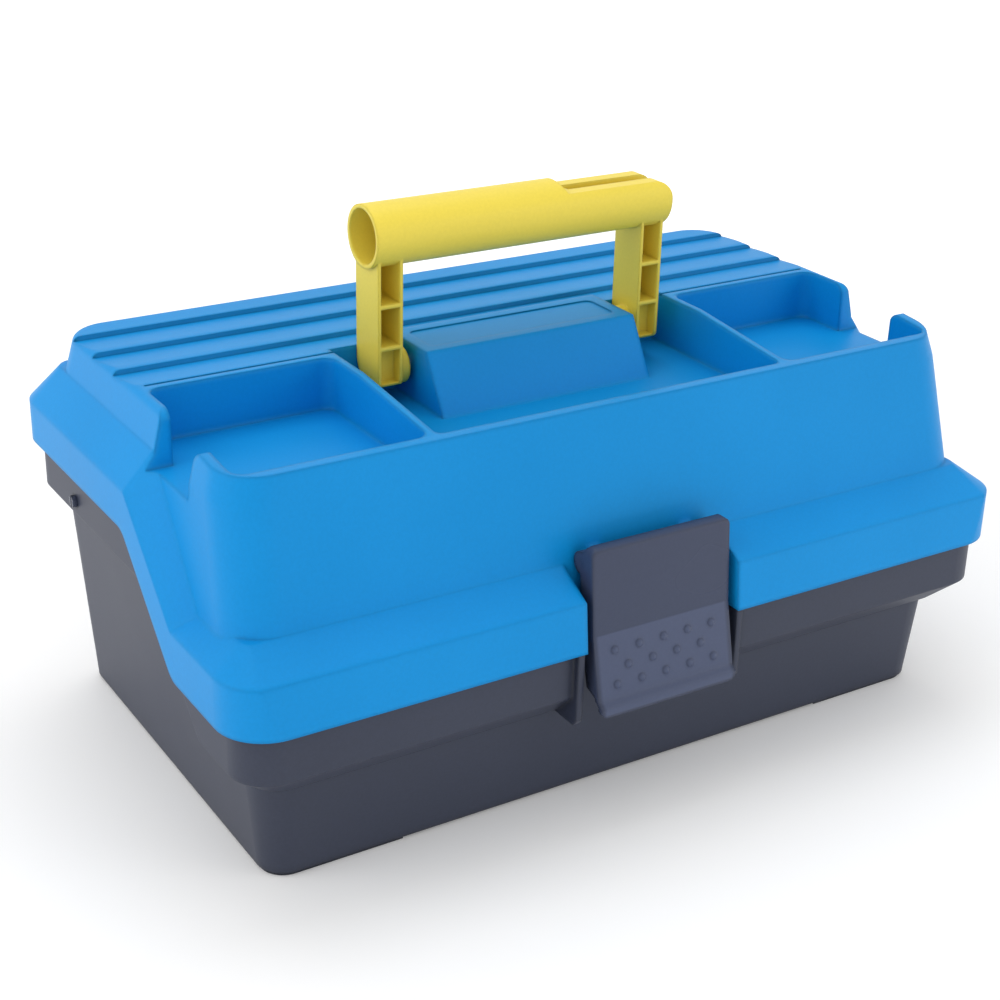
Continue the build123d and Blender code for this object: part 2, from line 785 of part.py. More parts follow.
with BuildPart() as lid:
    add(skirt_body(0))
    add(wide_box(NOTCH_HALF_WIDTH, -130, -50, 0, 120), mode=Mode.SUBTRACT)
    add(crown_body(0, CROWN_TOP_Z))
    add(split_region(0, True), mode=Mode.INTERSECT)
    for y in GROOVE_YS:
        add(
            side_prism(
                [(y, CROWN_TOP_Z + 5), (y, CROWN_TOP_Z - GROOVE_DEPTH), (y - GROOVE_RUN, CROWN_TOP_Z)],
                -250,
                250,
            ),
            mode=Mode.SUBTRACT,
        )
    with Locations((0, LAST_GROOVE_Y, CROWN_TOP_Z)):
        Box(2 * CROWN_HALF_LENGTH - 8, LAST_GROOVE_WIDTH, 2 * LAST_GROOVE_DEPTH, mode=Mode.SUBTRACT)
    add(side_prism(block_profile(0), -BLOCK_HALF_LENGTH, BLOCK_HALF_LENGTH))
    add(pockets(0), mode=Mode.SUBTRACT)
    add(front_slope(0), mode=Mode.SUBTRACT)
    slope_run = (NOTCH_FRONT - POCKET_FRONT) / (FRONT_SLOPE_END - POCKET_FRONT)
    tab_top_z = FRONT_WALL_TOP_Z + slope_run * (CROWN_TOP_Z - FRONT_WALL_TOP_Z)
    for near, far in ((POCKET_OUTER_X - 3, 200.0), (-200.0, 3 - POCKET_OUTER_X)):
        add(wall_end_rounding(NOTCH_REAR, 1, CROWN_TOP_Z, near, far), mode=Mode.SUBTRACT)
        add(wall_end_rounding(NOTCH_FRONT, -1, tab_top_z, near, far), mode=Mode.SUBTRACT)
    add(lid_hollow.part, mode=Mode.SUBTRACT)
    with BuildSketch(Plane.XY.offset(BLOCK_TOP_Z - PANEL_DEPTH)):
        with Locations((0, (BLOCK_TOP_Y + BLOCK_REAR_Y) / 2)):
            RectangleRounded(
                2 * (BLOCK_HALF_LENGTH - PANEL_INSET),
                BLOCK_REAR_Y - BLOCK_TOP_Y - 2 * PANEL_INSET,
                3,
            )
    extrude(amount=10, mode=Mode.SUBTRACT)
    for side in SIDES.values():
        lug_near = side * LUG_X - LUG_WIDTH / 2
        add(
            side_prism(
                [
                    (LATCH_PIVOT_Y, LATCH_PIVOT_Z - LUG_RADIUS),
                    (LATCH_PIVOT_Y, LATCH_PIVOT_Z + LUG_RADIUS),
                    (LUG_ROOT_Y + 1.5, LATCH_PIVOT_Z + 1),
                    (LUG_ROOT_Y, LATCH_PIVOT_Z - LUG_RADIUS),
                ],
                lug_near,
                lug_near + LUG_WIDTH,
            )
        )
        add(
            cross_cylinder(
                lug_near, lug_near + LUG_WIDTH, LATCH_PIVOT_Y, LATCH_PIVOT_Z, LUG_RADIUS
            )
        )
        for x in REST_RIB_XS:
            add(
                side_prism(
                    [
                        (LID_FRONT + WALL - 1, SPLIT_FRONT_Z + RIM_LIP),
                        (RIM_FRONT + WALL + 2, SPLIT_FRONT_Z + RIM_LIP),
                        (RIM_FRONT + WALL + 2, SPLIT_FRONT_Z + RIM_LIP + 2),
                        (LID_FRONT + WALL + 2, SPLIT_FRONT_Z + RIM_LIP + 14),
                        (LID_FRONT + WALL, SPLIT_FRONT_Z + RIM_LIP + 14),
                    ],
                    side * x - REST_RIB_WIDTH / 2,
                    side * x + REST_RIB_WIDTH / 2,
                )
            )
        for y in REST_RIB_YS:
            rest_middle = LID_HALF_LENGTH - WALL - REST_RIB_REACH / 2 + 0.5
            with Locations((side * rest_middle, y, RIM_TOP_Z + REST_RIB_HEIGHT / 2)):
                Box(REST_RIB_REACH + 1, REST_RIB_WIDTH, REST_RIB_HEIGHT)
        boss_near = side * LID_ARM_OUT
        boss_far = side * LID_HALF_LENGTH
        for y, z in ARM_MOUNTS:
            boss = cross_cylinder(
                min(boss_near, boss_far), max(boss_near, boss_far), y, z, MOUNT_BOSS_RADIUS
            )
            add(boss & skirt_body(WALL / 2))
        add(
            leaf_and_knuckle(
                [
                    (LID_REAR - 1.5, SPLIT_REAR_Z),
                    (LID_REAR - 1.5, SPLIT_REAR_Z + 11),
                    (LID_REAR, SPLIT_REAR_Z + 11),
                    (HINGE_Y + 3.8, HINGE_Z + 2.4),
                    (HINGE_Y, HINGE_Z),
                    (HINGE_Y - 3.2, HINGE_Z + 3.0),
                ],
                LID_KNUCKLE,
                side * HINGE_X,
            )
        )
    add(pin_pair(ARM_MOUNTS, LID_ARM_OUT - 1, LID_ARM_OUT + SCREW_DEPTH, SCREW_RADIUS), mode=Mode.SUBTRACT)
    add(
        cross_cylinder(-60, 60, LATCH_PIVOT_Y, LATCH_PIVOT_Z, LATCH_PIN_RADIUS + PIN_CLEARANCE),
        mode=Mode.SUBTRACT,
    )
    add(
        cross_cylinder(-200, 200, HINGE_Y, HINGE_Z, HINGE_PIN_RADIUS + PIN_CLEARANCE),
        mode=Mode.SUBTRACT,
    )
    add(
        pin_pair(
            [(HANDLE_Y, HANDLE_PIVOT_Z)],
            BLOCK_HALF_LENGTH - WALL - HANDLE_PIN_END - SHAKE,
            BLOCK_HALF_LENGTH + 1,
            HANDLE_PIN_RADIUS + PIN_CLEARANCE,
        ),
        mode=Mode.SUBTRACT,
    )
lid.part.label = "lid"
export_step(lid.part, "parts/lid.step")

# Latch
latch_face = [
    (LATCH_TOP_Y, LATCH_TOP_Z),
    (LATCH_CREASE_Y, LATCH_CREASE_Z),
    (LATCH_LIP_Y, LATCH_LIP_Z),
    (LATCH_NOSE_Y, LATCH_LIP_Z - LATCH_NOSE_DROP),
    (LATCH_NOSE_Y, LATCH_BOTTOM_Z),
]
latch_back = [(y + LATCH_WALL, z) for y, z in reversed(latch_face)]
latch_barrel_x = LUG_X - LUG_WIDTH / 2 - SHAKE
with BuildPart() as latch:
    add(side_prism(latch_face + latch_back, -LATCH_HALF_WIDTH, LATCH_HALF_WIDTH))
    flange = [
        (LATCH_TOP_Y, LATCH_TOP_Z),
        (LATCH_TOP_Y + LATCH_FLANGE, LATCH_FLANGE_Z),
        (LATCH_TOP_Y + LATCH_FLANGE, LATCH_FLANGE_Z - 2),
        (LATCH_TOP_Y + LATCH_WALL, LATCH_TOP_Z - 2),
    ]
    add(side_prism(flange, -LATCH_HALF_WIDTH, LATCH_HALF_WIDTH))
    for side in SIDES.values():
        cheek = [
            (LATCH_TOP_Y, LATCH_TOP_Z),
            (LATCH_CREASE_Y, LATCH_CREASE_Z),
            (LATCH_LIP_Y, LATCH_LIP_Z),
            (LATCH_LIP_Y + LATCH_SIDE_DEPTH, LATCH_LIP_Z + 3),
            (LATCH_CREASE_Y + LATCH_SIDE_DEPTH, LATCH_CREASE_Z),
            (LATCH_PIVOT_Y, LATCH_PIVOT_Z - 3),
            (LATCH_PIVOT_Y, LATCH_PIVOT_Z + 3),
            (LATCH_TOP_Y + LATCH_FLANGE, LATCH_FLANGE_Z),
        ]
        edge = side * LATCH_HALF_WIDTH
        inner = side * (LATCH_HALF_WIDTH - LATCH_WALL)
        add(side_prism(cheek, min(edge, inner), max(edge, inner)))
        barrel_end = side * (LUG_X + LUG_WIDTH / 2 + SHAKE)
        add(
            cross_cylinder(
                min(edge, barrel_end), max(edge, barrel_end),
                LATCH_PIVOT_Y, LATCH_PIVOT_Z, LATCH_KNUCKLE_RADIUS,
            )
        )
    add(
        cross_cylinder(
            -latch_barrel_x, latch_barrel_x, LATCH_PIVOT_Y, LATCH_PIVOT_Z, LATCH_KNUCKLE_RADIUS
        )
    )
    web = [
        (LATCH_TOP_Y, LATCH_PIVOT_Z + 2),
        (LATCH_TOP_Y, LATCH_PIVOT_Z - 2),
        (LATCH_PIVOT_Y, LATCH_PIVOT_Z - 2),
        (LATCH_PIVOT_Y, LATCH_PIVOT_Z + 2),
    ]
    add(side_prism(web, -latch_barrel_x, latch_barrel_x))
    slope = (LATCH_LIP_Y - LATCH_CREASE_Y) / (LATCH_CREASE_Z - LATCH_LIP_Z)
    hook_top_z = CATCH_Z - CATCH_GAP
    root_low_z = hook_top_z - HOOK_HEIGHT - 2
    root_high_z = hook_top_z + 1
    mid_wall_y = LATCH_CREASE_Y + LATCH_WALL / 2
    add(
        side_prism(
            [
                (mid_wall_y + slope * (LATCH_CREASE_Z - root_low_z), root_low_z),
                (HOOK_FACE_Y, hook_top_z - HOOK_HEIGHT),
                (HOOK_FACE_Y, hook_top_z),
                (mid_wall_y + slope * (LATCH_CREASE_Z - root_high_z), root_high_z),
            ],
            -CATCH_HALF_WIDTH + 1,
            CATCH_HALF_WIDTH - 1,
        )
    )
    for row, count in enumerate(BUMP_ROWS):
        bump_z = LATCH_CREASE_Z - (row + 1) * BUMP_ROW_PITCH
        bump_y = LATCH_CREASE_Y + slope * (LATCH_CREASE_Z - bump_z)
        for place in range(count):
            with Locations(((place - (count - 1) / 2) * BUMP_PITCH, bump_y + 0.4, bump_z)):
                Sphere(BUMP_RADIUS)
    add(
        cross_cylinder(
            LATCH_PIN_STOP - LATCH_HALF_WIDTH, 60, LATCH_PIVOT_Y, LATCH_PIVOT_Z, LATCH_PIN_RADIUS
        ),
        mode=Mode.SUBTRACT,
    )
    with BuildSketch(Plane.XZ.offset(-LATCH_PIVOT_Y - 30)):
        with Locations((0, (LATCH_FLANGE_Z + LATCH_BOTTOM_Z) / 2)):
            RectangleRounded(
                2 * LATCH_HALF_WIDTH, LATCH_FLANGE_Z - LATCH_BOTTOM_Z, LATCH_CORNER
            )
    extrude(amount=60, mode=Mode.INTERSECT)
latch.part.label = "latch"
export_step(latch.part, "parts/latch.step")

# Pin through the latch and the lid's two lugs
with BuildPart() as latch_pin:
    add(
        cross_cylinder(
            LATCH_PIN_STOP - LATCH_HALF_WIDTH, LATCH_HALF_WIDTH - 0.5,
            LATCH_PIVOT_Y, LATCH_PIVOT_Z, LATCH_PIN_RADIUS,
        )
    )
latch_pin.part.label = "latch_pin"
export_step(latch_pin.part, "parts/latch_pin.step")

# Handle
grip_z = HANDLE_PIVOT_Z + HANDLE_REACH
post_top = grip_z - GRIP_RADIUS / 2
post_foot = HANDLE_PIVOT_Z - POST_BELOW
post_back = HANDLE_Y + POST_DEPTH / 2
post_front = HANDLE_Y - POST_DEPTH / 2
with BuildPart() as handle:
    for side in SIDES.values():
        near = min(side * POST_INNER_X, side * POST_OUTER_X)
        with BuildSketch(Plane.YZ.offset(near)):
            with BuildLine():
                Polyline(
                    (post_front, post_foot + POST_FRONT_ROUND),
                    (post_front, post_top),
                    (post_back, post_top),
                    (post_back, post_foot + POST_BACK_ROUND),
                )
                RadiusArc(
                    (post_back, post_foot + POST_BACK_ROUND),
                    (post_back - POST_BACK_ROUND, post_foot),
                    POST_BACK_ROUND,
                )
                Line((post_back - POST_BACK_ROUND, post_foot), (post_front + POST_FRONT_ROUND, post_foot))
                RadiusArc(
                    (post_front + POST_FRONT_ROUND, post_foot),
                    (post_front, post_foot + POST_FRONT_ROUND),
                    POST_FRONT_ROUND,
                )
            make_face()
        extrude(amount=POST_OUTER_X - POST_INNER_X)
        levels = [post_foot + POST_RIB / 2]
        levels += [HANDLE_PIVOT_Z + height for height in POST_RIB_HEIGHTS]
        levels.append(post_top - POST_RIB)
        depths = [POST_FOOT_POCKET] + 2 * [POST_DEPTH - POST_WEB]
        for lower, upper, depth in zip(levels, levels[1:], depths):
            with Locations(
                (
                    side * (POST_INNER_X + POST_OUTER_X) / 2,
                    post_front + (depth - 2) / 2,
                    (lower + upper) / 2,
                )
            ):
                Box(
                    POST_OUTER_X - POST_INNER_X - 2 * POST_SIDE,
                    depth + 2,
                    upper - lower - POST_RIB,
                    mode=Mode.SUBTRACT,
                )
        boss_near = side * BOSS_INNER_X
        boss_far = side * (POST_INNER_X + 1)
        add(
            cross_cylinder(
                min(boss_near, boss_far), max(boss_near, boss_far),
                HANDLE_Y, HANDLE_PIVOT_Z, BOSS_RADIUS,
            )
        )
    add(cross_cylinder(-GRIP_HALF_LENGTH, GRIP_HALF_LENGTH, HANDLE_Y, grip_z, GRIP_RADIUS))
    add(
        cross_cylinder(
            -GRIP_HALF_LENGTH, GRIP_BORE_END, HANDLE_Y, grip_z, GRIP_RADIUS - GRIP_WALL
        ),
        mode=Mode.SUBTRACT,
    )
    with BuildSketch(Plane.XZ.offset(-HANDLE_Y - 20)):
        with BuildLine():
            flat_end = (GRIP_HALF_LENGTH - GRIP_END_ROUND, grip_z + GRIP_CUT_HEIGHT)
            round_end = (GRIP_HALF_LENGTH, grip_z + GRIP_CUT_HEIGHT - GRIP_END_ROUND)
            Polyline(
                (GRIP_CUT_X, grip_z + GRIP_RADIUS + 1),
                (GRIP_CUT_X + 3, grip_z + GRIP_CUT_HEIGHT),
                flat_end,
            )
            RadiusArc(flat_end, round_end, GRIP_END_ROUND)
            Polyline(
                round_end,
                (GRIP_HALF_LENGTH + 1, round_end[1]),
                (GRIP_HALF_LENGTH + 1, grip_z + GRIP_RADIUS + 1),
                (GRIP_CUT_X, grip_z + GRIP_RADIUS + 1),
            )
        make_face()
    extrude(amount=40, mode=Mode.SUBTRACT)
    with Locations(
        (
            (GRIP_SLOT_X + GRIP_HALF_LENGTH + 1) / 2,
            HANDLE_Y,
            grip_z + (GRIP_RADIUS - GRIP_SLOT_BELOW) / 2,
        )
    ):
        Box(
            GRIP_HALF_LENGTH + 1 - GRIP_SLOT_X,
            GRIP_SLOT_WIDTH,
            GRIP_RADIUS + GRIP_SLOT_BELOW,
            mode=Mode.SUBTRACT,
        )
    for side in SIDES.values():
        hole_near = side * BOSS_INNER_X
        hole_far = side * (BOSS_INNER_X + HANDLE_PIN_DEPTH)
        add(
            cross_cylinder(
                min(hole_near, hole_far), max(hole_near, hole_far),
                HANDLE_Y, HANDLE_PIVOT_Z, HANDLE_PIN_RADIUS,
            ),
            mode=Mode.SUBTRACT,
        )
handle.part.label = "handle"
export_step(handle.part, "parts/handle.step")

# Two pins that carry the handle on the sides of its block
with BuildPart() as handle_pins:
    add(
        pin_pair(
            [(HANDLE_Y, HANDLE_PIVOT_Z)],
            BLOCK_HALF_LENGTH - WALL - HANDLE_PIN_END,
            BOSS_INNER_X + HANDLE_PIN_DEPTH,
            HANDLE_PIN_RADIUS,
        )
    )
handle_pins.part.label = "handle_pins"
export_step(handle_pins.part, "parts/handle_pins.step")

# Lid hinge pins
with BuildPart() as hinge_pins:
    for side in SIDES.values():
        span = LID_KNUCKLE / 2 + BASE_KNUCKLE + KNUCKLE_GAP
        add(
            cross_cylinder(
                side * HINGE_X - span, side * HINGE_X + span, HINGE_Y, HINGE_Z, HINGE_PIN_RADIUS
            )
        )
hinge_pins.part.label = "hinge_pins"
export_step(hinge_pins.part, "parts/hinge_pins.step")

# Lid arms
for name, side in SIDES.items():
    first, second, third = LID_PINS
    mount_rear, mount_front = ARM_MOUNTS
    x_near = min(side * LID_ARM_IN, side * LID_ARM_OUT)
    with BuildPart() as lid_arm:
        with BuildSketch(Plane.YZ.offset(x_near)):
            add(link_plate([(first, third)], ARM_END_RADIUS))
            add(
                link_plate(
                    [(second, mount_rear), (second, mount_front), (mount_rear, mount_front)],
                    ARM_NECK_RADIUS,
                )
            )
            with Locations(*LID_PINS):
                Circle(TRAY_PIN_RADIUS + PIN_CLEARANCE, mode=Mode.SUBTRACT)
            with Locations(*ARM_MOUNTS):
                Circle(SCREW_RADIUS, mode=Mode.SUBTRACT)
        extrude(amount=ARM_THICKNESS)
    lid_arm.part.label = f"lid_arm_{name}"
    export_step(lid_arm.part, f"parts/lid_arm_{name}.step")

# Screws that hold the lid arms to the lid
with BuildPart() as lid_arm_screws:
    add(pin_pair(ARM_MOUNTS, LID_ARM_IN - SCREW_HEAD_HEIGHT, LID_ARM_IN, SCREW_HEAD_RADIUS))
    add(pin_pair(ARM_MOUNTS, LID_ARM_IN - SHAKE, LID_ARM_OUT + SCREW_DEPTH, SCREW_RADIUS))
lid_arm_screws.part.label = "lid_arm_screws"
export_step(lid_arm_screws.part, "parts/lid_arm_screws.step")

# Front arms
for name, side in SIDES.items():
    x_near = min(side * FRONT_ARM_IN, side * FRONT_ARM_OUT)
    first, second, third = FRONT_PINS
    with BuildPart() as front_arm:
        with BuildSketch(Plane.YZ.offset(x_near)):
            add(link_plate([(first, third), (second, ARM_PIVOT)], ARM_END_RADIUS))
            with Locations(*FRONT_PINS):
                Circle(TRAY_PIN_RADIUS + OPEN_PIVOT_CLEARANCE, mode=Mode.SUBTRACT)
            with Locations(ARM_PIVOT):
                Circle(STUD_RADIUS + PIN_CLEARANCE, mode=Mode.SUBTRACT)
        extrude(amount=ARM_THICKNESS)
    front_arm.part.label = f"front_arm_{name}"
    export_step(front_arm.part, f"parts/front_arm_{name}.step")

# Slotted studs that carry the front arms on the base
with BuildPart() as arm_studs:
    add(pin_pair([ARM_PIVOT], FRONT_ARM_IN, RIM_HALF_LENGTH + STUD_STANDOUT, STUD_RADIUS))
    for side in SIDES.values():
        with Locations((side * (RIM_HALF_LENGTH + STUD_STANDOUT), *ARM_PIVOT)):
            Box(2.0, STUD_SLOT, 2 * STUD_RADIUS + 1, mode=Mode.SUBTRACT)
arm_studs.part.label = "arm_studs"
export_step(arm_studs.part, "parts/arm_studs.step")

# Trays, their pins and their dividers
for name, tray_front, lid_pin, front_pin in zip(TRAY_NAMES, TRAY_FRONTS, LID_PINS, FRONT_PINS):
    tray_rear = lid_pin[0] + TRAY_BEHIND_PIN
    bottom = lid_pin[1] - TRAY_BELOW_PIN
    top = bottom + TRAY_HEIGHT
    length = 2 * TRAY_HALF_LENGTH
    depth = tray_rear - tray_front
    middle_y = (tray_front + tray_rear) / 2
    pitch = (length - 2 * TRAY_WALL) / (DIVIDER_STATIONS + 1)
    stations = [(i + 1) * pitch - length / 2 + TRAY_WALL for i in range(DIVIDER_STATIONS)]
    with BuildPart() as tray:
        with BuildSketch(Plane.XY.offset(bottom)):
            with Locations((0, middle_y)):
                RectangleRounded(length, depth, TRAY_CORNER)
        extrude(amount=TRAY_HEIGHT)
        with BuildSketch(Plane.XY.offset(bottom + TRAY_WALL)):
            with Locations((0, middle_y)):
                RectangleRounded(
                    length - 2 * TRAY_WALL, depth - 2 * TRAY_WALL, TRAY_CORNER - TRAY_WALL
                )
        extrude(amount=TRAY_HEIGHT, mode=Mode.SUBTRACT)
        rib_from = DIVIDER_PLATE / 2 + DIVIDER_SLOT_CLEARANCE
        for x in stations:
            for step in (-1, 1):
                for wall_y, inward in ((tray_front + TRAY_WALL, 1), (tray_rear - TRAY_WALL, -1)):
                    with Locations(
                        (
                            x + step * (rib_from + DIVIDER_RIB_WIDTH / 2),
                            wall_y + inward * (DIVIDER_RIB - 0.5) / 2,
                            (bottom + top) / 2,
                        )
                    ):
                        Box(DIVIDER_RIB_WIDTH, DIVIDER_RIB + 0.5, TRAY_HEIGHT - 4)
        add(pin_pair([front_pin], TRAY_HALF_LENGTH - 0.5, FRONT_ARM_IN - SHAKE, TRAY_BOSS_RADIUS))
        add(
            pin_pair([lid_pin, front_pin], TRAY_HALF_LENGTH - 10, 200, TRAY_PIN_RADIUS),
            mode=Mode.SUBTRACT,
        )
    tray.part.label = f"tray_{name}"
    export_step(tray.part, f"parts/tray_{name}.step")

    head_in = TRAY_HALF_LENGTH - TRAY_WALL
    for place, point, arm_out in (
        ("rear", lid_pin, LID_ARM_OUT),
        ("front", front_pin, FRONT_ARM_OUT),
    ):
        with BuildPart() as rivets:
            add(pin_pair([point], head_in - TRAY_PIN_HEAD_HEIGHT, head_in, TRAY_PIN_HEAD))
            add(pin_pair([point], head_in - 0.1, arm_out + SHAKE + 0.1, TRAY_PIN_RADIUS))
            add(
                pin_pair(
                    [point],
                    arm_out + SHAKE,
                    arm_out + SHAKE + TRAY_PIN_HEAD_HEIGHT,
                    TRAY_PIN_HEAD,
                )
            )
        rivets.part.label = f"{place}_rivets_{name}"
        export_step(rivets.part, f"parts/{place}_rivets_{name}.step")

    with BuildPart() as dividers:
        for station in DIVIDERS_AT[name]:
            with Locations((stations[station], middle_y, bottom + TRAY_WALL + DIVIDER_HEIGHT / 2)):
                Box(DIVIDER_PLATE, depth - 2 * TRAY_WALL - 2 * SHAKE, DIVIDER_HEIGHT)
    dividers.part.label = f"dividers_{name}"
    export_step(dividers.part, f"parts/dividers_{name}.step")
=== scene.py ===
import json
import math

import bmesh
import bpy
from mathutils import Matrix, Vector


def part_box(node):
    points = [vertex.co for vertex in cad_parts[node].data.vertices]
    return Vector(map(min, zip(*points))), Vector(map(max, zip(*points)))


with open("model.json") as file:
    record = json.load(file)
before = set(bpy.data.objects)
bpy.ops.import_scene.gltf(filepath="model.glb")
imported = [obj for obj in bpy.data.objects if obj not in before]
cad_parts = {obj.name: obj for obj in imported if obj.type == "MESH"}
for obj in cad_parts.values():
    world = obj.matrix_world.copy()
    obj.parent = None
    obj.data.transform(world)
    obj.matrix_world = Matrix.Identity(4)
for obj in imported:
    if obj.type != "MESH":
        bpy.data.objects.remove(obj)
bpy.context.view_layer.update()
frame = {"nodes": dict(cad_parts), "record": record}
scene = bpy.context.scene
nodes = frame["nodes"]
MM = 0.001
WHITE = (1.0, 1.0, 1.0, 1.0)

# Surface of moulded plastic: noise scales are cycles per metre, and depths are in metres
FLOW_SCALE = 9.0
FLOW_RAMP = (0.3, 0.75)
SPECK_SCALE = 900.0
SPECK_RANGE = (0.35, 0.65)
WAVE_SCALE = 26.0
WAVE_STRENGTH = 0.18
WAVE_DEPTH = 1.2 * MM
GRAIN_DEPTH = 0.06 * MM
# Painted shade in creases: how far the occlusion looks, and the occlusion range that maps to
# darkening
CREASE_REACH = 5.0 * MM
CREASE_RANGE = (0.3, 0.9)
PLASTIC_IOR = 1.49
COAT_ROUGHNESS = 0.25

# Surface of zinc-plated steel
BRUSH_SCALE = (1400.0, 60.0, 1400.0)
STEEL_COLOUR = (0.62, 0.62, 0.64, 1.0)
STEEL_SHADE = 0.86
STEEL_ROUGHNESS = (0.24, 0.42)
STEEL_EDGE = 0.3 * MM

# Painted light: a paler field on the lower half of the latch, where that part faces the light
# more
latch_low, latch_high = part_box("latch")
FIELD_HALF_WIDTH = latch_high.x - 1.4 * MM
FIELD_BOTTOM = latch_low.z + 1.0 * MM
FIELD_TOP = latch_low.z + 29.0 * MM
FIELD_LIGHT_GAIN = 1.5


def srgb(r, g, b):
    """A linear colour from 8-bit screen values."""
    def linear(v):
        v = v / 255
        return v / 12.92 if v <= 0.04045 else ((v + 0.055) / 1.055) ** 2.4
    return (linear(r), linear(g), linear(b), 1.0)


def new_material(name):
    """A node material that holds only a principled shader, with its tree and that shader."""
    mat = bpy.data.materials.new(name)
    mat.use_nodes = True
    tree = mat.node_tree
    tree.nodes.clear()
    out = tree.nodes.new("ShaderNodeOutputMaterial")
    shader = tree.nodes.new("ShaderNodeBsdfPrincipled")
    tree.links.new(shader.outputs["BSDF"], out.inputs["Surface"])
    return mat, tree, shader


def noise(tree, vector, scale, detail):
    """Noise that follows a vector."""
    node = tree.nodes.new("ShaderNodeTexNoise")
    node.inputs["Scale"].default_value = scale
    node.inputs["Detail"].default_value = detail
    tree.links.new(vector, node.inputs["Vector"])
    return node


def ramp(tree, value, dark, light, ends=(0.0, 1.0)):
    """A colour between dark and light, by a value."""
    node = tree.nodes.new("ShaderNodeValToRGB")
    for element, position, colour in zip(node.color_ramp.elements, ends, (dark, light)):
        element.position = position
        element.color = colour
    tree.links.new(value, node.inputs["Fac"])
    return node.outputs["Color"]


def rescale(tree, value, target, source=(0.0, 1.0)):
    """A value moved from its source range to a target range."""
    node = tree.nodes.new("ShaderNodeMapRange")
    node.inputs["From Min"].default_value = source[0]
    node.inputs["From Max"].default_value = source[1]
    node.inputs["To Min"].default_value = target[0]
    node.inputs["To Max"].default_value = target[1]
    tree.links.new(value, node.inputs["Value"])
    return node.outputs["Result"]


def calculate(tree, operation, *values):
    """The result of a maths node on linked values."""
    node = tree.nodes.new("ShaderNodeMath")
    node.operation = operation
    for place, value in enumerate(values):
        tree.links.new(value, node.inputs[place])
    return node.outputs["Value"]


def shaded(tree, colour, factor):
    """A colour multiplied by a factor."""
    node = tree.nodes.new("ShaderNodeMixRGB")
    node.blend_type = "MULTIPLY"
    node.inputs["Fac"].default_value = 1.0
    tree.links.new(colour, node.inputs["Color1"])
    tree.links.new(factor, node.inputs["Color2"])
    return node.outputs["Color"]


def bump(tree, height, normal, strength, depth):
    """A normal disturbed by a height."""
    node = tree.nodes.new("ShaderNodeBump")
    node.inputs["Strength"].default_value = strength
    node.inputs["Distance"].default_value = depth
    tree.links.new(height, node.inputs["Height"])
    tree.links.new(normal, node.inputs["Normal"])
    return node.outputs["Normal"]


def soft_edges(tree, radius, samples):
    """A normal that rounds the edges of a mesh."""
    node = tree.nodes.new("ShaderNodeBevel")
    node.samples = samples
    node.inputs["Radius"].default_value = radius
    return node.outputs["Normal"]


def crease_shade(tree, hollow_shade):
    """Painted shade: one on open faces, and down to the given floor value where faces meet in a
    crease.
    """
    node = tree.nodes.new("ShaderNodeAmbientOcclusion")
    node.samples = 6
    node.inputs["Distance"].default_value = CREASE_REACH
    return rescale(tree, node.outputs["AO"], (hollow_shade, 1.0), CREASE_RANGE)


def painted_field_light(tree, position, colour):
    """Painted light: the colour made paler inside the latch's lower field."""
    place = tree.nodes.new("ShaderNodeSeparateXYZ")
    tree.links.new(position, place.inputs["Vector"])
    side = calculate(tree, "ABSOLUTE", place.outputs["X"])
    height = place.outputs["Z"]
    within = (FIELD_HALF_WIDTH + 0.4 * MM, FIELD_HALF_WIDTH - 0.8 * MM)
    below = (FIELD_TOP + 0.3 * MM, FIELD_TOP - 0.3 * MM)
    above = (FIELD_BOTTOM - 0.3 * MM, FIELD_BOTTOM + 0.3 * MM)
    field = calculate(
        tree,
        "MULTIPLY",
        rescale(tree, side, (0.0, 1.0), within),
        rescale(tree, height, (0.0, 1.0), below),
    )
    field = calculate(tree, "MULTIPLY", field, rescale(tree, height, (0.0, 1.0), above))
    return shaded(tree, colour, rescale(tree, field, (1.0, FIELD_LIGHT_GAIN)))


def plastic(name, colour, roughness, shine=0.2, grain=0.12, grain_size=0.5, edge=1.0,
            coat=0.0, tint=0.05, hollow_shade=0.6, speckle=0.04, field=False):
    """Moulded plastic: fine grain, faint flow mottling, painted shade darkening its creases, and
    softened edges.
    """
    mat, tree, shader = new_material(name)
    position = tree.nodes.new("ShaderNodeTexCoord").outputs["Object"]

    flow = noise(tree, position, FLOW_SCALE, 3.0).outputs["Fac"]
    dark = tuple(c * (1 - tint) for c in colour[:3]) + (1.0,)
    light = tuple(min(1.0, c * (1 + tint) + 0.004) for c in colour[:3]) + (1.0,)
    shade = ramp(tree, flow, dark, light, FLOW_RAMP)
    speck = noise(tree, position, SPECK_SCALE, 2.0).outputs["Fac"]
    shade = shaded(tree, shade, rescale(tree, speck, (1.0 - speckle, 1.0 + speckle), SPECK_RANGE))
    # Painted shade: occlusion darkens the colour where faces meet in creases and recesses
    shade = shaded(tree, shade, crease_shade(tree, hollow_shade))
    # Painted light: the latch's lower field is made paler in colour
    if field:
        shade = painted_field_light(tree, position, shade)
    tree.links.new(shade, shader.inputs["Base Color"])

    rough = rescale(tree, flow, (max(0.05, roughness - 0.05), min(1.0, roughness + 0.06)))
    tree.links.new(rough, shader.inputs["Roughness"])

    fine = noise(tree, position, 1000.0 / grain_size, 2.0)
    fine.inputs["Roughness"].default_value = 0.6
    wave = noise(tree, position, WAVE_SCALE, 1.0).outputs["Fac"]
    normal = soft_edges(tree, edge * MM, 6)
    normal = bump(tree, wave, normal, WAVE_STRENGTH, WAVE_DEPTH)
    normal = bump(tree, fine.outputs["Fac"], normal, grain, GRAIN_DEPTH)
    tree.links.new(normal, shader.inputs["Normal"])
    shader.inputs["IOR"].default_value = PLASTIC_IOR
    shader.inputs["Specular IOR Level"].default_value = shine
    shader.inputs["Coat Weight"].default_value = coat
    shader.inputs["Coat Roughness"].default_value = COAT_ROUGHNESS
    return mat


